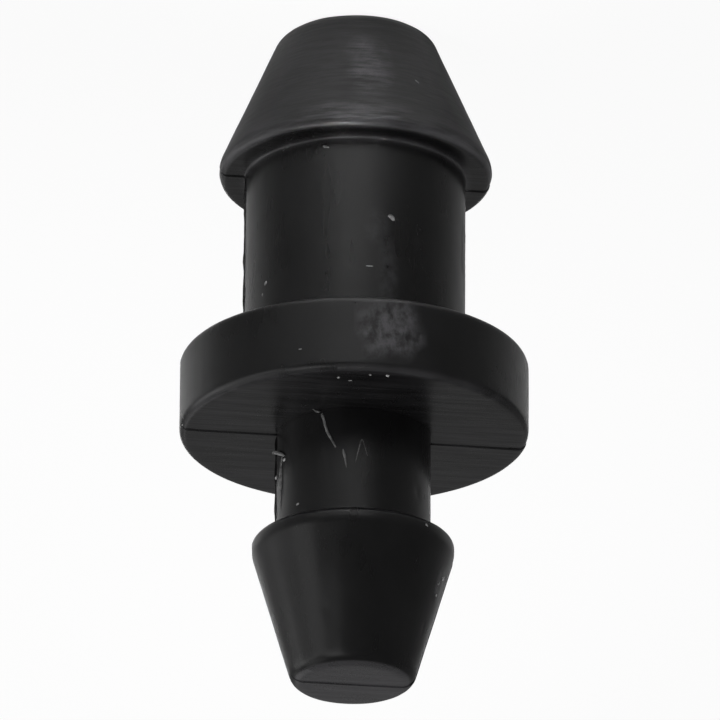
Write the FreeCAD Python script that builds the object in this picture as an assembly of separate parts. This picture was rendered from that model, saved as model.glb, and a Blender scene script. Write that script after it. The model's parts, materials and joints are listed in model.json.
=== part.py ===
import FreeCAD, Part
import math
import os

# A double-ended barbed hole plug for drip irrigation line, moulded in one piece of black plastic.
# It stands upright on the flat tip of its large end, with the small end up.
# Z runs along the plug's axis, and Z = 0 is the flat of the large tip.
# The two halves of the mould meet in the plane Y = 0.

# Diameters, in millimetres
LARGE_TIP_DIAMETER = 4.1
LARGE_BARB_DIAMETER = 7.25
LARGE_NECK_DIAMETER = 5.85
FLANGE_DIAMETER = 9.2
SMALL_NECK_DIAMETER = 4.05
SMALL_BARB_DIAMETER = 5.3
SMALL_TIP_DIAMETER = 3.15

# Lengths along the axis, in millimetres, from the large tip upward
LARGE_BARB_LENGTH = 4.03
LARGE_NECK_LENGTH = 5.26
FLANGE_THICKNESS = 2.11
SMALL_NECK_LENGTH = 3.0
SMALL_BARB_LENGTH = 3.95

# Lands: the short straight band at the widest part of each barb
LARGE_BARB_LAND = 0.33
SMALL_BARB_LAND = 0.35

# Edge roundings, in millimetres
LARGE_TIP_ROUNDING = 0.5
LARGE_BARB_LOWER_ROUNDING = 0.6
LARGE_BARB_UPPER_ROUNDING = 0.2
LARGE_SHOULDER_FILLET = 0.07
NECK_ROOT_FILLET = 0.03
FLANGE_LOWER_ROUNDING = 0.22
FLANGE_UPPER_ROUNDING = 0.22
SMALL_SHOULDER_FILLET = 0.2
SMALL_BARB_LOWER_ROUNDING = 0.18
SMALL_BARB_UPPER_ROUNDING = 0.7
SMALL_TIP_ROUNDING = 0.4

# Heights that follow from the lengths
LARGE_SHOULDER_Z = LARGE_BARB_LENGTH
FLANGE_BOTTOM_Z = LARGE_SHOULDER_Z + LARGE_NECK_LENGTH
FLANGE_TOP_Z = FLANGE_BOTTOM_Z + FLANGE_THICKNESS
SMALL_SHOULDER_Z = FLANGE_TOP_Z + SMALL_NECK_LENGTH
TOTAL_LENGTH = SMALL_SHOULDER_Z + SMALL_BARB_LENGTH


def point(radius, height):
    """A point of the half outline, which lies in the XZ plane."""
    return FreeCAD.Vector(radius, 0, height)


def half_outline():
    """Corners of the half outline, each with the radius of its rounding, from tip to tip."""
    return [
        (point(0, 0), 0),
        (point(LARGE_TIP_DIAMETER / 2, 0), LARGE_TIP_ROUNDING),
        (point(LARGE_BARB_DIAMETER / 2, LARGE_SHOULDER_Z - LARGE_BARB_LAND), LARGE_BARB_LOWER_ROUNDING),
        (point(LARGE_BARB_DIAMETER / 2, LARGE_SHOULDER_Z), LARGE_BARB_UPPER_ROUNDING),
        (point(LARGE_NECK_DIAMETER / 2, LARGE_SHOULDER_Z), LARGE_SHOULDER_FILLET),
        (point(LARGE_NECK_DIAMETER / 2, FLANGE_BOTTOM_Z), NECK_ROOT_FILLET),
        (point(FLANGE_DIAMETER / 2, FLANGE_BOTTOM_Z), FLANGE_LOWER_ROUNDING),
        (point(FLANGE_DIAMETER / 2, FLANGE_TOP_Z), FLANGE_UPPER_ROUNDING),
        (point(SMALL_NECK_DIAMETER / 2, FLANGE_TOP_Z), NECK_ROOT_FILLET),
        (point(SMALL_NECK_DIAMETER / 2, SMALL_SHOULDER_Z), SMALL_SHOULDER_FILLET),
        (point(SMALL_BARB_DIAMETER / 2, SMALL_SHOULDER_Z), SMALL_BARB_LOWER_ROUNDING),
        (point(SMALL_BARB_DIAMETER / 2, SMALL_SHOULDER_Z + SMALL_BARB_LAND), SMALL_BARB_UPPER_ROUNDING),
        (point(SMALL_TIP_DIAMETER / 2, TOTAL_LENGTH), SMALL_TIP_ROUNDING),
        (point(0, TOTAL_LENGTH), 0),
    ]


def rounded_corner(before, corner, after, radius):
    """The arc that rounds a corner, tangent to the runs on either side of it."""
    to_before = (before - corner).normalize()
    to_after = (after - corner).normalize()
    half_angle = to_before.getAngle(to_after) / 2
    setback = radius / math.tan(half_angle)
    bisector = (to_before + to_after).normalize()
    centre = corner + bisector * (radius / math.sin(half_angle))
    start = corner + to_before * setback
    middle = centre - bisector * radius
    end = corner + to_after * setback
    return Part.Arc(start, middle, end)


def outline_wire(corners):
    """The closed half outline: straight runs joined by arcs, then back along the axis."""
    points = [corner for corner, _ in corners]
    edges = []
    pen = points[0]
    for index, (corner, radius) in enumerate(corners[1:], start=1):
        if radius > 0:
            arc = rounded_corner(points[index - 1], corner, points[index + 1], radius)
            edges.append(Part.LineSegment(pen, arc.StartPoint).toShape())
            edges.append(arc.toShape())
            pen = arc.EndPoint
        else:
            edges.append(Part.LineSegment(pen, corner).toShape())
            pen = corner
    edges.append(Part.LineSegment(pen, points[0]).toShape())
    return Part.Wire(edges)


def plug_body():
    """The whole moulding: its half outline turned once about the axis."""
    face = Part.Face(outline_wire(half_outline()))
    return face.revolve(FreeCAD.Vector(0, 0, 0), FreeCAD.Vector(0, 0, 1), 360)


def main():
    os.makedirs("parts", exist_ok=True)
    body = plug_body()
    body.exportStep("parts/plug_body.step")
    print("plug_body volume", round(body.Volume, 3), "mm3, valid", body.isValid())
    print("total length", round(TOTAL_LENGTH, 3), "mm")


main()
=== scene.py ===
import json
import math

import bpy
from mathutils import Matrix, Vector, noise


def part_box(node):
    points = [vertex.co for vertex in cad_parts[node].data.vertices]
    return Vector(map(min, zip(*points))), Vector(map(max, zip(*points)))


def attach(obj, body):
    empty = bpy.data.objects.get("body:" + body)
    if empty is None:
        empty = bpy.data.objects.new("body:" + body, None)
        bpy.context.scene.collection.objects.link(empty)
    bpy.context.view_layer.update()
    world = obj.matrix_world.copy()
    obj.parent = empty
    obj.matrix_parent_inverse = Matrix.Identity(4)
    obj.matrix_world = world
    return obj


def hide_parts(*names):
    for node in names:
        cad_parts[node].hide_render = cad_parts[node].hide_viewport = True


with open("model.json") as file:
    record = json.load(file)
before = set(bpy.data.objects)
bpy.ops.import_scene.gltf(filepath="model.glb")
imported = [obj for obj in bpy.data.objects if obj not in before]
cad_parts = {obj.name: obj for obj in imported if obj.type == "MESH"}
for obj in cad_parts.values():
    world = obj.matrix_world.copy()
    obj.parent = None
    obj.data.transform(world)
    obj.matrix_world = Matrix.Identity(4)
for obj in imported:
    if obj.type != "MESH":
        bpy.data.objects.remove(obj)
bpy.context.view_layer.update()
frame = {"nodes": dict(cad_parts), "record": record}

MM = 0.001
NODE = "plug_body"


# ------------------------------------------------------------ sizes, in millimetres, read from the frame

def mount(name):
    """The record's mount of that name."""
    return next(m for m in frame["record"]["mounts"] if m["name"] == name)


def widest(low, high):
    """The largest radius of the CAD plug between two heights."""
    vertices = frame["nodes"][NODE].data.vertices
    return max(math.hypot(v.co.x, v.co.y) / MM for v in vertices if low <= v.co.z / MM <= high)


BOX_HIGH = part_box(NODE)[1]
TOTAL_LENGTH = BOX_HIGH.z / MM
FLANGE_R = BOX_HIGH.x / MM
FLANGE_BOTTOM_Z = mount("large_end_seat")["pos_m"][2] / MM
FLANGE_TOP_Z = mount("small_end_seat")["pos_m"][2] / MM
LARGE_NECK_R = mount("large_neck")["dims"]["r_mm"]
SMALL_NECK_R = mount("small_neck")["dims"]["r_mm"]
LARGE_SHOULDER_Z = FLANGE_BOTTOM_Z - mount("large_neck")["dims"]["length_mm"]
SMALL_SHOULDER_Z = FLANGE_TOP_Z + mount("small_neck")["dims"]["length_mm"]
LARGE_BARB_R = widest(0, LARGE_SHOULDER_Z)
SMALL_BARB_R = widest(SMALL_SHOULDER_Z, TOTAL_LENGTH)
# Each tip's share of its barb's radius
LARGE_TIP_SHARE = 0.5655
SMALL_TIP_SHARE = 0.5943
LARGE_TIP_R = LARGE_TIP_SHARE * LARGE_BARB_R
SMALL_TIP_R = SMALL_TIP_SHARE * SMALL_BARB_R

# The outline's corners as (radius, height, rounding), from the large tip up to the small tip
LARGE_BARB_LAND = 0.33
SMALL_BARB_LAND = 0.35
OUTLINE = [
    (0, 0, 0),
    (LARGE_TIP_R, 0, 0.5),
    (LARGE_BARB_R, LARGE_SHOULDER_Z - LARGE_BARB_LAND, 0.6),
    (LARGE_BARB_R, LARGE_SHOULDER_Z, 0.2),
    (LARGE_NECK_R, LARGE_SHOULDER_Z, 0.07),
    (LARGE_NECK_R, FLANGE_BOTTOM_Z, 0.03),
    (FLANGE_R, FLANGE_BOTTOM_Z, 0.22),
    (FLANGE_R, FLANGE_TOP_Z, 0.22),
    (SMALL_NECK_R, FLANGE_TOP_Z, 0),
    (SMALL_NECK_R, SMALL_SHOULDER_Z, 0.2),
    (SMALL_BARB_R, SMALL_SHOULDER_Z, 0.18),
    (SMALL_BARB_R, SMALL_SHOULDER_Z + SMALL_BARB_LAND, 0.7),
    (SMALL_TIP_R, TOTAL_LENGTH, 0.4),
    (0, TOTAL_LENGTH, 0),
]

# How the mould's halves closed: the half at +Y sits a little higher, and the half at -Y a little to +X
FAR_HALF_RISE = 0.03
NEAR_HALF_SHIFT = 0.013
# The halves meet a little to the +Y side of the axis, except at the two tips
PARTING_OFFSET = 0.13
# Half the angle, in radians, that the flash's root or the parting groove takes up, and the bare seam
PARTING_GAP = 0.0045
SEAM_GAP = 0.0006
GROOVE_DEPTH = 0.03
FLASH_HEIGHT = 0.055
# How finely the mesh is cut: steps in an arc, length of a step in a straight run, columns in half a turn
ARC_STEPS = 8
RUN_STEP = 0.125
HALF_COLUMNS = 152
# The upright part of a normal above which the surface counts as a flat face
FLAT_FACE = 0.8


# ------------------------------------------------------------ outline

def rounded_corner(before, corner, after, radius):
    """Points of the arc that rounds a corner of the outline, tangent to both runs."""
    to_before = (before - corner).normalized()
    to_after = (after - corner).normalized()
    half_angle = to_before.angle(to_after) / 2
    centre = corner + (to_before + to_after).normalized() * (radius / math.sin(half_angle))
    start = corner + to_before * (radius / math.tan(half_angle)) - centre
    turn = start.angle_signed(corner + to_after * (radius / math.tan(half_angle)) - centre)
    points = []
    for step in range(ARC_STEPS):
        angle = -turn * step / (ARC_STEPS - 1)
        points.append(centre + Vector((
            start.x * math.cos(angle) - start.y * math.sin(angle),
            start.x * math.sin(angle) + start.y * math.cos(angle),
        )))
    return points


def outline_points():
    """The whole outline as closely spaced (radius, height) points, and the outward normal at each."""
    corners = [Vector((r, z)) for r, z, _ in OUTLINE]
    rough = [corners[0]]
    for index in range(1, len(corners) - 1):
        rounding = OUTLINE[index][2]
        if rounding > 0:
            rough += rounded_corner(corners[index - 1], corners[index], corners[index + 1], rounding)
        else:
            rough.append(corners[index])
    rough.append(corners[-1])
    points = []
    for start, end in zip(rough, rough[1:]):
        steps = max(1, round((end - start).length / RUN_STEP))
        points += [start.lerp(end, step / steps) for step in range(steps)]
    points.append(rough[-1])
    normals = []
    for index, point in enumerate(points):
        along = points[min(index + 1, len(points) - 1)] - points[max(index - 1, 0)]
        normals.append(Vector((along.y, -along.x)).normalized())
    return points, normals


POINTS, NORMALS = outline_points()


def wall_radius(height):
    """The outline's outermost radius at a height."""
    radius = 0
    for low, high in zip(POINTS, POINTS[1:]):
        if min(low.y, high.y) <= height <= max(low.y, high.y):
            part = (height - low.y) / (high.y - low.y) if high.y != low.y else 0
            radius = max(radius, low.x + (high.x - low.x) * part)
    return radius


def spot(azimuth, radius, height):
    """A place in millimetres. Azimuth 0 is on the -Y side, and 90 is at +X."""
    a = math.radians(azimuth)
    return Vector((radius * math.sin(a), -radius * math.cos(a), height))


def on_wall(azimuth, height, lift=0.0):
    """A place on the plug's wall, or that far off it."""
    return spot(azimuth, wall_radius(height) + lift, height)


# ------------------------------------------------------------ the moulding's unevenness

WAVE = 0.006
SCUFF_RELIEF = 0.012
# Scuffed patches as (centre, half sizes in X and Z, how strong)
SCUFFS = [
    (on_wall(-4, 10.2), (0.95, 0.9), 1.0),
    (on_wall(-4, 6.6), (0.35, 0.5), 0.3),
    (on_wall(-9, 7.9), (0.3, 1.0), 0.35),
    (on_wall(1, 1.9), (0.6, 2.0), 1.0),
    (on_wall(8, 3.5), (1.5, 0.35), 0.5),
    (on_wall(-66, 15.8), (0.3, 0.5), 0.5),
    (on_wall(-76, 6.2), (0.5, 1.2), 1.0),
    (on_wall(150, 10.4), (1.2, 0.8), 0.8),
    (on_wall(-160, 6.0), (0.7, 1.1), 0.6),
    (on_wall(110, 2.4), (0.9, 0.8), 0.4),
]
# Small dents as (centre, radius, depth)
DENTS = [
    (on_wall(28, 16.95), 0.13, 0.007),
    (on_wall(-48, 13.4), 0.12, 0.02),
    (on_wall(-61, 17.05), 0.07, 0.02),
    (on_wall(20, 6.75), 0.2, 0.008),
    (on_wall(15, 7.15), 0.18, -0.008),
    (on_wall(-27, 2.2), 0.15, 0.012),
    (on_wall(-14, 1.9), 0.12, 0.012),
    (on_wall(-128, 15.6), 0.16, 0.02),
    (on_wall(168, 10.1), 0.14, 0.02),
]
# The rubbed land of the large barb, where the painted reflection band under its rim also lies
RUB_HEIGHT = 3.82
RUB_WIDTH = 0.24
RUB_SWELL = 0.012
# How far the painted highlight spreads from a rounded corner
EDGE_HIGHLIGHT_REACH = 0.13


def scuff_at(place):
    """How scuffed the surface is at a place, from 0 to 1."""
    most = 0
    for centre, (half_x, half_z), strength in SCUFFS:
        away = place - centre
        across = math.hypot(away.x, away.y)
        if across < 3 * half_x and abs(away.z) < 2 * half_z:
            reach = (across / half_x) ** 2 + (away.z / half_z) ** 2
            ragged = 0.55 * noise.noise(place * 2.4 + Vector((7, 3, 1)))
            most = max(most, strength * min(1, max(0, 1.25 - reach + ragged)))
    return most


def relief_at(place, normal):
    """How far the surface stands out of the true outline at a place, in millimetres."""
    relief = WAVE * noise.noise(place * 0.9) + 0.4 * WAVE * noise.noise(place * 2.3)
    if abs(normal.y) < FLAT_FACE:
        scuff = scuff_at(place)
        if scuff > 0:
            relief += SCUFF_RELIEF * scuff * noise.noise(place * 6.5)
        for centre, radius, depth in DENTS:
            away = (place - centre).length / radius
            if away < 3:
                relief -= depth * math.exp(-away * away)
        swell = math.exp(-((place.z - RUB_HEIGHT) / RUB_WIDTH) ** 2)
        if place.z < LARGE_SHOULDER_Z and normal.y < 0:
            relief += RUB_SWELL * swell * (0.6 + 0.8 * noise.noise(place * 1.3 + Vector((2, 5, 8))))
    return relief


def parting_at(height):
    """How far to +Y of the axis the mould's halves meet at a height, in millimetres."""
    from_tips = min(height / 3.0, (TOTAL_LENGTH - height) / 4.0)
    return PARTING_OFFSET * max(0, min(1, from_tips))


def parted(point, normal):
    """What the parting line is at a point of the outline: a groove, a neck's flash or a bare seam."""
    radius, height = point
    on_small_neck = FLANGE_TOP_Z < height < SMALL_SHOULDER_Z and radius < SMALL_NECK_R + 0.1
    on_large_neck = LARGE_SHOULDER_Z < height < FLANGE_BOTTOM_Z and radius < LARGE_NECK_R + 0.1
    if abs(normal.y) > FLAT_FACE:
        return "groove"
    return "flash" if on_small_neck or on_large_neck else "seam"


def flash_height(point, normal, side):
    """How far the flash stands out of the parting line at one end of it; a groove is below zero."""
    kind = parted(point, normal)
    if kind == "groove":
        return -GROOVE_DEPTH
    if kind == "flash" and side > 0:
        return FLASH_HEIGHT * (0.8 + 0.5 * noise.noise(Vector((7, point.x * 2.1, point.y * 2.7))))
    return 0.0


# ------------------------------------------------------------ the moulding

def plug_mesh():
    """The moulding as two half turns of the outline, joined by the step and flash at the parting plane."""
    last = len(POINTS) - 1
    vertices = []
    edge_highlight = []
    scuffed = []
    flat = []
    highlighted_corners = [Vector((r, z)) for r, z, rounding in OUTLINE
                    if 0.05 < rounding < 0.6 and r > SMALL_NECK_R + 0.1]

    def add(row, angle, shift, rise):
        point, normal = POINTS[row], NORMALS[row]
        outward = Vector((math.cos(angle), math.sin(angle), 0))
        place = outward * point.x + Vector((0, 0, point.y))
        if 0 < row < last:
            place += (outward * normal.x + Vector((0, 0, normal.y))) * relief_at(place, normal)
        vertices.append((place + Vector((shift, 0, rise))) * MM)
        # How near a rounded corner the point lies, for the painted highlight along the edges
        nearest = min((point - corner).length for corner in highlighted_corners)
        edge_highlight.append(math.exp(-(nearest / EDGE_HIGHLIGHT_REACH) ** 2))
        scuffed.append(scuff_at(place) if abs(normal.y) < FLAT_FACE else 0)
        flat.append(1.0 if abs(normal.y) > FLAT_FACE else 0.0)
        return len(vertices) - 1

    def half(first_angle, side, shift, rise):
        """Columns of vertex numbers over half a turn; all columns share the two tips' centres."""
        poles = [add(0, 0, shift, rise), add(last, 0, shift, rise)]
        columns = [[poles[0]] for _ in range(HALF_COLUMNS + 1)]
        for row in range(1, last):
            point = POINTS[row]
            gap = SEAM_GAP if parted(point, NORMALS[row]) == "seam" else PARTING_GAP
            offset = side * math.asin(min(0.9, parting_at(point.y) / max(point.x, 0.3))) + gap
            for column in range(HALF_COLUMNS + 1):
                angle = first_angle + offset + (math.pi - 2 * offset) * column / HALF_COLUMNS
                columns[column].append(add(row, angle, shift, rise))
        for column in columns:
            column.append(poles[1])
        return columns

    far = half(0, 1, 0, FAR_HALF_RISE)
    near = half(math.pi, -1, NEAR_HALF_SHIFT, 0)

    def between(a, b, out=Vector((0, 0, 0))):
        vertices.append((vertices[a] + vertices[b]) / 2 + out * MM)
        edge_highlight.append(edge_highlight[a])
        scuffed.append(0)
        flat.append(flat[a])
        return len(vertices) - 1

    def flash(a, b, side, poles):
        """The column between the halves' edges, pushed out by the flash's height."""
        column = [poles[0]]
        for row in range(1, last):
            out = Vector((NORMALS[row].x * side, 0, NORMALS[row].y))
            column.append(between(a[row], b[row], out * flash_height(POINTS[row], NORMALS[row], side)))
        column.append(poles[1])
        return column

    centre_poles = [between(far[0][row], near[0][row]) for row in (0, last)]
    flash_minus = flash(far[-1], near[0], -1, centre_poles)
    flash_plus = flash(near[-1], far[0], 1, centre_poles)

    loop = [*far, flash_minus, *near, flash_plus]
    faces = []
    for a, b in zip(loop, loop[1:] + loop[:1]):
        for row in range(last):
            corners_here = [a[row], b[row], b[row + 1], a[row + 1]]
            face = [v for n, v in enumerate(corners_here) if v not in corners_here[:n]]
            if len(face) > 2:
                faces.append(face)
    mesh = bpy.data.meshes.new("plug_moulding")
    mesh.from_pydata([v[:] for v in vertices], [], faces)
    for name, values in (("edge_highlight", edge_highlight), ("scuffed", scuffed), ("flat", flat)):
        mesh.attributes.new(name, "FLOAT", "POINT").data.foreach_set("value", values)
    mesh.validate()
    mesh.shade_smooth()
    mesh.set_sharp_from_angle(angle=math.radians(38))
    return mesh


# ------------------------------------------------------------ torn flash, whiskers and crumbs of plastic

def strand(points, radii, sides=7):
    """Vertices and faces of a thin closed tube through points, in millimetres, with a radius at each."""
    path = []
    for index in range(len(points) - 1):
        before = points[max(index - 1, 0)]
        start, end = points[index], points[index + 1]
        after = points[min(index + 2, len(points) - 1)]
        for step in range(6):
            t = step / 6
            curve = (start * 2 + (end - before) * t + (before * 2 - start * 5 + end * 4 - after) * t * t
                     + (start * 3 - before - end * 3 + after) * t ** 3) / 2
            path.append((curve, radii[index] + (radii[index + 1] - radii[index]) * t))
    path.append((points[-1], radii[-1]))
    vertices = []
    faces = []
    for index, (place, radius) in enumerate(path):
        along = path[min(index + 1, len(path) - 1)][0] - path[max(index - 1, 0)][0]
        side = along.cross(Vector((0.3, 0.2, 0.9))).normalized()
        other = along.cross(side).normalized()
        for turn in range(sides):
            angle = math.tau * turn / sides
            uneven = 1 + 0.35 * noise.noise(place * 9 + Vector((turn, 0, 0)))
            vertices.append(place + (side * math.cos(angle) + other * math.sin(angle)) * radius * uneven)
            if index:
                here, back = index * sides, (index - 1) * sides
                after = (turn + 1) % sides
                faces.append([back + turn, back + after, here + after, here + turn])
    faces.append(list(range(sides))[::-1])
    faces.append([len(vertices) - sides + turn for turn in range(sides)])
    return vertices, faces


def crumb(place, out, length, width, tilt):
    """Vertices and faces of a small lump of plastic on the surface, half sunk in it."""
    up = Vector((0, 0, 1)) if abs(out.z) < 0.9 else Vector((1, 0, 0))
    across = up.cross(out).normalized()
    up = out.cross(across).normalized()
    t = math.radians(tilt)
    long_way = across * math.cos(t) + up * math.sin(t)
    short_way = up * math.cos(t) - across * math.sin(t)
    rings, sides = 5, 9
    vertices = [place - out * width * 0.4]
    for ring in range(1, rings):
        polar = math.pi * ring / rings
        for turn in range(sides):
            angle = math.tau * turn / sides
            way = (long_way * (math.cos(angle) * math.sin(polar) * length / 2)
                   + short_way * (math.sin(angle) * math.sin(polar) * width / 2)
                   - out * (math.cos(polar) * width * 0.4))
            vertices.append(place + way * (1 + 0.5 * noise.noise((place + way) * 11)))
    vertices.append(place + out * width * 0.4)
    faces = []
    for turn in range(sides):
        after = (turn + 1) % sides
        faces.append([0, 1 + after, 1 + turn])
        for ring in range(rings - 2):
            low, high = 1 + ring * sides, 1 + (ring + 1) * sides
            faces.append([low + turn, low + after, high + after, high + turn])
        top = 1 + (rings - 2) * sides
        faces.append([top + turn, top + after, len(vertices) - 1])
    return vertices, faces


# Whiskers and torn flash: each is (radii, places)
WHISKERS = [
    ((0.008, 0.03, 0.014), [spot(37, 2.24, 11.42), spot(35, 2.14, 11.47), spot(33.5, 2.06, 11.46)]),
    ((0.044, 0.034, 0.036, 0.034, 0.016), [
        on_wall(32.4, 11.52, 0.015), on_wall(30.6, 11.72, 0.02), on_wall(28.6, 11.98, 0.02),
        on_wall(25.4, 12.22, 0.018), on_wall(21.6, 12.5, 0.005)]),
    ((0.012, 0.042, 0.036, 0.01), [
        on_wall(16.6, 12.5, -0.02), on_wall(15.5, 12.68, -0.018), on_wall(14.2, 12.9, -0.018),
        on_wall(13.2, 13.15, -0.01)]),
    ((0.006, 0.016, 0.012, 0.006), [
        on_wall(7, 12.95, 0), on_wall(4.4, 12.55, 0.002), on_wall(2.0, 12.3, 0.002), on_wall(-2, 12.75, 0)]),
]
TORN_FLASH = [
    ((0.014, 0.05, 0.065, 0.05, 0.03), [
        spot(96, 2.13, 11.9), spot(89, 2.12, 11.98), spot(81, 2.1, 12.1),
        spot(74, 2.08, 12.24), spot(71, 2.05, 12.32)]),
    ((0.02, 0.035, 0.045, 0.03, 0.01), [
        spot(74, 2.05, 12.3), spot(76, 2.06, 12.6), spot(76, 2.05, 12.95),
        spot(77, 2.04, 13.4), spot(77, 2.03, 13.8)]),
]
# Crumbs on the walls, as (azimuth, height, length, width, tilt)
WALL_CRUMBS = [
    (23.6, 4.3, 0.2, 0.07, -20), (-10.8, 6.3, 0.27, 0.12, -30), (53.8, 13.88, 0.1, 0.07, 20),
    (72, 12.42, 0.17, 0.1, 0), (93, 12.62, 0.13, 0.12, 60), (79, 13.1, 0.09, 0.07, 90),
    (-24, 2.27, 0.16, 0.04, -45), (26, 10.76, 0.11, 0.035, 0), (61, 7.75, 0.15, 0.08, 60),
    (64, 8.05, 0.11, 0.07, 80), (53, 9.22, 0.16, 0.08, 0), (90, 11.33, 0.11, 0.05, 0),
    (-38, 14.62, 0.12, 0.05, -40), (76, 14.0, 0.07, 0.05, 0), (-69, 15.6, 0.14, 0.07, 70),
    (-64, 15.8, 0.12, 0.06, 60), (-66, 16.1, 0.09, 0.05, 80), (0.5, 7.75, 0.2, 0.035, 0),
    (160, 5.2, 0.14, 0.06, 30), (-140, 8.2, 0.1, 0.05, -20), (135, 12.9, 0.1, 0.06, 10),
    (-155, 16.4, 0.12, 0.05, 50), (120, 10.2, 0.09, 0.05, 0), (-100, 2.8, 0.12, 0.05, 40),
]
# Crumbs on the flange's upper face, as (azimuth, radius, length, width, tilt)
FACE_CRUMBS = [
    (13.8, 4.07, 0.08, 0.08, 40), (9.5, 3.84, 0.11, 0.035, 90), (2.5, 4.25, 0.07, 0.06, 0),
    (-3.5, 4.27, 0.09, 0.07, 70), (148, 3.1, 0.08, 0.06, 30), (-120, 3.5, 0.1, 0.04, 10),
]


def joined(shapes):
    """One mesh's worth of vertices and faces from several."""
    vertices = []
    faces = []
    for some_vertices, some_faces in shapes:
        faces += [[v + len(vertices) for v in face] for face in some_faces]
        vertices += some_vertices
    return vertices, faces


def small_piece(name, shapes, material):
    """A visible piece of the moulding made of small closed shapes."""
    vertices, faces = joined(shapes)
    mesh = bpy.data.meshes.new(name)
    mesh.from_pydata([(v * MM)[:] for v in vertices], [], faces)
    mesh.validate()
    mesh.shade_smooth()
    mesh.materials.append(material)
    piece = bpy.data.objects.new(name, mesh)
    bpy.context.scene.collection.objects.link(piece)
    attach(piece, "root")
    return piece


def loose_ends(stretched, torn):
    """The torn flash, the whiskers and the crumbs, of the two pale materials."""
    strands = [strand(places, radii) for radii, places in WHISKERS]
    whiskers = small_piece("flash_whiskers", strands, stretched)
    strands = [strand(places, radii) for radii, places in TORN_FLASH]
    flash = small_piece("torn_flash", strands, stretched)
    shapes = []
    for azimuth, height, length, width, tilt in WALL_CRUMBS:
        slope = (wall_radius(height - 0.05) - wall_radius(height + 0.05)) / 0.1
        out = (spot(azimuth, 1, 0) + Vector((0, 0, max(-1, min(1, slope))))).normalized()
        shapes.append(crumb(on_wall(azimuth, height), out, length, width, tilt))
    for azimuth, radius, length, width, tilt in FACE_CRUMBS:
        shapes.append(crumb(spot(azimuth, radius, FLANGE_TOP_Z), Vector((0, 0, 1)), length, width, tilt))
    return [whiskers, flash, small_piece("moulding_crumbs", shapes, torn)]


# ------------------------------------------------------------ material

# Height of the fine relief, in millimetres, where the height map says 1
BUMP_HEIGHT = 0.01


def add_node(tree, kind, inputs=(), **settings):
    """A shader node with its settings and its input values or links."""
    made = tree.nodes.new(kind)
    for name, value in settings.items():
        setattr(made, name, value)
    for socket, value in dict(inputs).items():
        if isinstance(value, bpy.types.NodeSocket):
            tree.links.new(value, made.inputs[socket])
        else:
            made.inputs[socket].default_value = value
    return made


def maths(tree, operation, *values):
    """The output of a Math node."""
    return add_node(tree, "ShaderNodeMath", dict(enumerate(values)), operation=operation).outputs[0]


def remap(tree, value, low, high, to_low=0.0, to_high=1.0):
    """A value's range moved to another, held inside it."""
    return add_node(tree, "ShaderNodeMapRange", {
        "Value": value, "From Min": low, "From Max": high,
        "To Min": to_low, "To Max": to_high}).outputs["Result"]


def grain(tree, place, stretch, detail=2.0, roughness=0.55):
    """Noise whose features come so often per millimetre along X, Y and Z."""
    spread = add_node(tree, "ShaderNodeVectorMath", {0: place, 1: stretch}, operation="MULTIPLY").outputs[0]
    return add_node(tree, "ShaderNodeTexNoise", {
        "Vector": spread, "Scale": 1.0, "Detail": detail, "Roughness": roughness}).outputs["Fac"]


def millimetres(tree):
    """The place on the object, in millimetres."""
    metres = add_node(tree, "ShaderNodeTexCoord").outputs["Object"]
    return add_node(tree, "ShaderNodeVectorMath", {0: metres, "Scale": 1 / MM}, operation="SCALE").outputs[0]


def attribute(tree, name):
    """A value stored on the mesh's points."""
    return add_node(tree, "ShaderNodeAttribute", attribute_name=name).outputs["Fac"]


def roughen(tree, hills, shader):
    """Fine relief on the surface, from a height map."""
    bump = add_node(tree, "ShaderNodeBump", {"Height": hills, "Strength": 1.0, "Distance": BUMP_HEIGHT * MM})
    tree.links.new(bump.outputs["Normal"], shader.inputs["Normal"])


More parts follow.
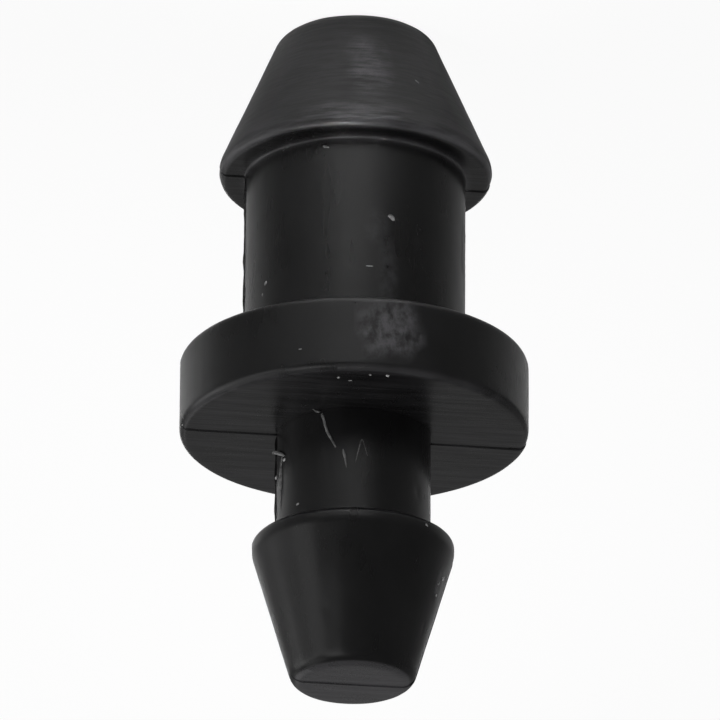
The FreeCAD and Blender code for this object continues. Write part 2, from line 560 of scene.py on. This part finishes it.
def black_polyethylene():
    """Satin black polyethylene, rubbed on the barb, scuffed in places, with the mould's streaks, and with
    painted light: sheen on the barb, a reflection band under its rim, highlights on the rounded edges, and
    lighter flange face and tip face.
    """
    material = bpy.data.materials.new("moulded_black_polyethylene")
    material.use_nodes = True
    tree = material.node_tree
    shader = tree.nodes["Principled BSDF"]
    place = millimetres(tree)
    height = add_node(tree, "ShaderNodeSeparateXYZ", {0: place}).outputs["Z"]
    edge, scuffed, flat = [attribute(tree, name) for name in ("edge_highlight", "scuffed", "flat")]
    wall = maths(tree, "SUBTRACT", 1.0, flat)

    # Where the plastic is rubbed: all over the large barb, most of all under its rim. The barb's lighter
    # tone is painted sheen as well as rubbing
    barb = remap(tree, height, LARGE_SHOULDER_Z + 0.1, LARGE_SHOULDER_Z - 0.1)
    barb = maths(tree, "MULTIPLY", barb, wall)
    under_rim = maths(tree, "MULTIPLY", barb, remap(tree, height, RUB_HEIGHT - 0.55, RUB_HEIGHT - 0.1))
    # The flange's upper face, made lighter by painted light
    upper_face = maths(tree, "MULTIPLY", flat, remap(tree, height, FLANGE_TOP_Z - 0.3, FLANGE_TOP_Z - 0.1))
    # The small tip's end face, made lighter by painted light
    tip_face_painted_light = maths(tree, "MULTIPLY", flat, remap(tree, height, TOTAL_LENGTH - 0.5, TOTAL_LENGTH - 0.2))

    cloud = grain(tree, place, (0.55, 0.55, 0.4), 3.0)
    fine = grain(tree, place, (14.0, 14.0, 14.0), 2.0)
    speckle = grain(tree, place, (4.2, 4.2, 3.4), 3.0, 0.6)
    round_streaks = grain(tree, place, (1.1, 1.1, 8.0), 3.0, 0.6)
    upright_streaks = grain(tree, place, (3.2, 3.2, 0.25), 2.0)
    face_streaks = grain(tree, place, (0.45, 5.0, 1.0), 2.0, 0.55)

    uneven = remap(tree, maths(tree, "ADD", round_streaks, cloud), 0.85, 1.25)
    # Painted sheen as well as rubbed streaks, all round the large barb
    barb_sheen_and_wear = maths(tree, "MULTIPLY", barb, uneven)
    # The band under the barb's rim: a painted reflection in its tone, rubbed plastic in its roughness
    rim_reflection_and_wear = maths(tree, "MULTIPLY", under_rim, remap(tree, round_streaks, 0.3, 0.6))
    marks = add_node(tree, "ShaderNodeMix", {0: barb, 2: speckle, 3: round_streaks}).outputs[0]
    worn_patch = maths(tree, "MULTIPLY", scuffed, remap(tree, marks, 0.34, 0.62))
    painted_face_light = maths(tree, "MULTIPLY", upper_face, remap(tree, face_streaks, 0.4, 0.7))
    # Painted highlight along the rounded edges
    painted_edge_highlight = maths(tree, "MULTIPLY", edge, remap(tree, cloud, 0.35, 0.65, 0.3, 1.0))

    # The barb's tone, raised all round it and along its streaks: painted sheen as well as rubbed plastic
    tone = maths(tree, "MULTIPLY_ADD", barb, 0.003, remap(tree, cloud, 0.35, 0.65, 0.002, 0.004))
    tone = maths(tree, "MULTIPLY_ADD", barb_sheen_and_wear, 0.012, tone)
    # Painted reflection: the band under the barb's rim made lighter
    tone = maths(tree, "MULTIPLY_ADD", rim_reflection_and_wear, 0.016, tone)
    tone = maths(tree, "MULTIPLY_ADD", worn_patch, 0.05, tone)
    # Painted light: the flange's upper face made lighter, along its streaks
    tone = maths(tree, "MULTIPLY_ADD", upper_face, 0.001, tone)
    tone = maths(tree, "MULTIPLY_ADD", painted_face_light, 0.006, tone)
    # The rounded edges made lighter: a painted highlight
    tone = maths(tree, "MULTIPLY_ADD", painted_edge_highlight, 0.025, tone)
    # Painted light: the small tip's end face made lighter
    tone = maths(tree, "MULTIPLY_ADD", tip_face_painted_light, 0.018, tone)
    colour = add_node(tree, "ShaderNodeCombineColor", {
        "Red": tone,
        "Green": maths(tree, "MULTIPLY", tone, 0.975),
        "Blue": maths(tree, "MULTIPLY", tone, 1.04)})
    tree.links.new(colour.outputs["Color"], shader.inputs["Base Color"])

    rough = remap(tree, cloud, 0.3, 0.7, 0.26, 0.32)
    rough = maths(tree, "MULTIPLY_ADD", barb, 0.05, rough)
    rough = maths(tree, "MULTIPLY_ADD", rim_reflection_and_wear, 0.06, rough)
    rough = maths(tree, "MULTIPLY_ADD", worn_patch, 0.12, rough)
    rough = maths(tree, "MULTIPLY_ADD", maths(tree, "SUBTRACT", upright_streaks, 0.5), 0.08, rough)
    tree.links.new(rough, shader.inputs["Roughness"])
    shader.inputs["IOR"].default_value = 1.51

    hills = maths(tree, "MULTIPLY", fine, 0.05)
    hills = maths(tree, "MULTIPLY_ADD", maths(tree, "MULTIPLY", barb, round_streaks), 1.1, hills)
    hills = maths(tree, "MULTIPLY_ADD", maths(tree, "MULTIPLY", scuffed, speckle), 4.5, hills)
    hills = maths(tree, "MULTIPLY_ADD", maths(tree, "MULTIPLY", flat, face_streaks), 1.2, hills)
    hills = maths(tree, "MULTIPLY_ADD", maths(tree, "MULTIPLY", wall, upright_streaks), 0.25, hills)
    roughen(tree, hills, shader)
    return material


def whitened_polyethylene(name, darkest, palest):
    """The same plastic where it was torn or stretched, which turns it pale."""
    material = bpy.data.materials.new(name)
    material.use_nodes = True
    tree = material.node_tree
    shader = tree.nodes["Principled BSDF"]
    place = millimetres(tree)
    blotches = grain(tree, place, (9.0, 9.0, 9.0), 2.0)
    tone = remap(tree, blotches, 0.35, 0.6, darkest, palest)
    colour = add_node(tree, "ShaderNodeCombineColor", {"Red": tone, "Green": tone, "Blue": tone})
    tree.links.new(colour.outputs["Color"], shader.inputs["Base Color"])
    tree.links.new(remap(tree, blotches, 0.3, 0.7, 0.3, 0.55), shader.inputs["Roughness"])
    roughen(tree, blotches, shader)
    return material


def plug():
    """The whole visible plug, in place of the CAD body, as a list of its pieces."""
    piece = bpy.data.objects.new("plug_moulding", plug_mesh())
    bpy.context.scene.collection.objects.link(piece)
    piece.data.materials.append(black_polyethylene())
    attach(piece, "root")
    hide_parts(NODE)
    return [piece, *loose_ends(whitened_polyethylene("stretched_polyethylene", 0.045, 0.13),
                               whitened_polyethylene("torn_polyethylene", 0.1, 0.3))]


# ------------------------------------------------------------ floor, lamps and camera

# How much of the white surroundings mirror rays see, how white the camera sees the floor, and its half size
MIRRORED_SHARE = 0.09
FLOOR_SHARE = 0.95
FLOOR_HALF_SIZE = 6000.0
# The spot lamps' distance from the floor patch that they light, and their softness, in millimetres
SPOT_DISTANCE = 200.0
SPOT_RADIUS = 6.0
# How wide a fill lamp's disc looks from the plug, in radians
FILL_ANGLE = 1.2


def white_share(tree, seen_share):
    """How far the surroundings show as white: almost wholly to the camera, straight or through something
    clear, and a little to mirror rays."""
    ray = add_node(tree, "ShaderNodeLightPath").outputs
    seen = maths(tree, "MAXIMUM", ray["Is Camera Ray"], ray["Is Transmission Ray"])
    mirrored = maths(tree, "MULTIPLY", ray["Is Glossy Ray"], MIRRORED_SHARE)
    return maths(tree, "MULTIPLY_ADD", seen, seen_share, mirrored)


def floor():
    """A wide pale floor, seen as white by the camera and in part by reflections."""
    reach = FLOOR_HALF_SIZE * MM
    corners = [(-reach, -reach, 0), (reach, -reach, 0), (reach, reach, 0), (-reach, reach, 0)]
    mesh = bpy.data.meshes.new("floor")
    mesh.from_pydata(corners, [], [(0, 1, 2, 3)])
    piece = bpy.data.objects.new("floor", mesh)
    bpy.context.scene.collection.objects.link(piece)
    material = bpy.data.materials.new("floor")
    material.use_nodes = True
    tree = material.node_tree
    surface = tree.nodes["Material Output"].inputs["Surface"]
    tree.nodes.remove(tree.nodes["Principled BSDF"])
    paint = add_node(tree, "ShaderNodeBsdfDiffuse", {"Color": (0.8, 0.8, 0.8, 1)})
    glow = add_node(tree, "ShaderNodeEmission", {"Color": (1, 1, 1, 1), "Strength": 1.0})
    mix = add_node(tree, "ShaderNodeMixShader", {
        0: white_share(tree, FLOOR_SHARE), 1: paint.outputs[0], 2: glow.outputs[0]})
    tree.links.new(mix.outputs[0], surface)
    mesh.materials.append(material)


def aim_lamp(light, azimuth, elevation, distance, target):
    """A lamp stood off a target, both in millimetres, and turned to face it. Azimuth 0 is on the -Y side."""
    piece = bpy.data.objects.new(light.name, light)
    bpy.context.scene.collection.objects.link(piece)
    a, e = math.radians(azimuth), math.radians(elevation)
    toward = Vector((math.sin(a) * math.cos(e), -math.cos(a) * math.cos(e), math.sin(e)))
    piece.location = (target + toward * distance) * MM
    piece.rotation_mode = "QUATERNION"
    piece.rotation_quaternion = toward.to_track_quat("Z", "Y")
    piece.visible_camera = False
    return piece


def softbox(name, azimuth, elevation, distance, size, radiance):
    """A soft square lamp that looks at the plug's middle, with its distance and size in millimetres."""
    light = bpy.data.lights.new(name, "AREA")
    light.shape = "SQUARE"
    light.size = size * MM
    light.energy = radiance * math.pi * light.size ** 2
    aim_lamp(light, azimuth, elevation, distance, Vector((0, 0, TOTAL_LENGTH / 2)))


def floor_lamp(name, azimuth, elevation, floor_azimuth, floor_distance, reach, level):
    """A spot lamp that lights a patch of the floor for the plug to mirror, with lengths in millimetres."""
    light = bpy.data.lights.new(name, "SPOT")
    light.spot_size = 2 * math.atan(reach / SPOT_DISTANCE)
    light.spot_blend = 0.6
    light.shadow_soft_size = SPOT_RADIUS * MM
    light.energy = level * (2 * math.pi * SPOT_DISTANCE * MM) ** 2
    aim_lamp(light, azimuth, elevation, SPOT_DISTANCE, spot(floor_azimuth, floor_distance, 0))


def fill_lamp(name, azimuth, elevation, level, receivers):
    """A broad, even light on the plug alone, which its gloss doesn't mirror, at a share of plain level."""
    light = bpy.data.lights.new(name, "SUN")
    light.angle = FILL_ANGLE
    light.energy = level * math.pi
    piece = aim_lamp(light, azimuth, elevation, SPOT_DISTANCE, Vector((0, 0, 0)))
    piece.visible_glossy = False
    piece.light_linking.receiver_collection = receivers


def lights(lit_pieces):
    """Even light at about plain level, softboxes and a partly lit floor to mirror, and a dim room."""
    plug_only = bpy.data.collections.new("plug_only")
    for piece in lit_pieces:
        plug_only.objects.link(piece)
    fill_lamp("front_fill", 8, 10, 0.65, plug_only)
    fill_lamp("left_fill", 128, 10, 0.65, plug_only)
    fill_lamp("right_fill", -112, 10, 0.55, plug_only)
    fill_lamp("top_fill", 0, 90, 0.55, plug_only)
    softbox("key_softbox", 40, 35, 45, 20, 0.8)
    softbox("front_side_softbox", 68, 8, 500, 250, 0.7)
    softbox("side_softbox", 98, 8, 500, 250, 0.45)
    softbox("upper_side_softbox", 98, 35, 500, 350, 0.4)
    softbox("low_side_softbox", 120, 15, 120, 60, 0.65)
    softbox("back_side_softbox", 158, 30, 500, 250, 0.35)
    softbox("back_softbox", 196, 25, 500, 300, 0.07)
    floor_lamp("foot_floor_lamp", 28, 50, 8, 12, 5, 3.2)
    floor_lamp("under_cone_floor_lamp", 14, 60, 6, 6.5, 3, 0.8)
    floor_lamp("foot_side_floor_lamp", 58, 50, 38, 12, 5, 0.6)
    floor_lamp("front_floor_lamp", 28, 50, 8, 32, 12, 1.2)
    floor_lamp("front_side_floor_lamp", 58, 50, 38, 32, 12, 0.5)
    floor_lamp("far_floor_lamp", 13, 50, -7, 50, 18, 0.3)
    floor_lamp("back_floor_lamp", 158, 60, 158, 45, 35, 0.65)
    floor_lamp("back_right_floor_lamp", 218, 60, 218, 45, 35, 0.3)
    world = bpy.data.worlds.new("studio")
    bpy.context.scene.world = world
    world.use_nodes = True
    tree = world.node_tree
    room = tree.nodes["Background"]
    room.inputs["Color"].default_value = (1, 1, 1, 1)
    room.inputs["Strength"].default_value = 0.03
    backdrop = add_node(tree, "ShaderNodeBackground", {"Color": (1, 1, 1, 1), "Strength": 1.0})
    mix = add_node(tree, "ShaderNodeMixShader", {
        0: white_share(tree, 1.0), 1: room.outputs[0], 2: backdrop.outputs[0]})
    tree.links.new(mix.outputs[0], tree.nodes["World Output"].inputs["Surface"])


# The camera looks down on the standing plug, and is turned over so that the large end is at the top
CAMERA_AZIMUTH = 8.0
CAMERA_ELEVATION = 23.1
CAMERA_DISTANCE = 240.0
CAMERA_ROLL = 180.0 - 0.36
FRAME_SPAN = 1.035 * TOTAL_LENGTH
AIM_HEIGHT = 9.0
AIM_ASIDE = -0.14
AIM_ABOVE = 0.17


def camera():
    """The view of the plug lying with its large end up in the frame."""
    a, e = math.radians(CAMERA_AZIMUTH), math.radians(CAMERA_ELEVATION)
    back = Vector((math.sin(a) * math.cos(e), -math.cos(a) * math.cos(e), math.sin(e)))
    right = Vector((math.cos(a), math.sin(a), 0))
    up = back.cross(right)
    data = bpy.data.cameras.new("camera")
    data.sensor_width = 36.0
    data.lens = data.sensor_width * CAMERA_DISTANCE / FRAME_SPAN
    data.clip_start = 0.01
    data.clip_end = 20.0
    piece = bpy.data.objects.new("camera", data)
    bpy.context.scene.collection.objects.link(piece)
    aim = Vector((0, 0, AIM_HEIGHT)) + right * AIM_ASIDE + up * AIM_ABOVE
    piece.location = (aim + back * CAMERA_DISTANCE) * MM
    roll = math.radians(CAMERA_ROLL)
    turned_right = right * math.cos(roll) - up * math.sin(roll)
    turned_up = right * math.sin(roll) + up * math.cos(roll)
    basis = Matrix((turned_right, turned_up, back)).transposed()
    piece.rotation_mode = "QUATERNION"
    piece.rotation_quaternion = basis.to_quaternion()
    bpy.context.scene.camera = piece


plug_pieces = plug()
floor()
lights(plug_pieces)
camera()
bpy.context.scene.view_settings.view_transform = "Standard"
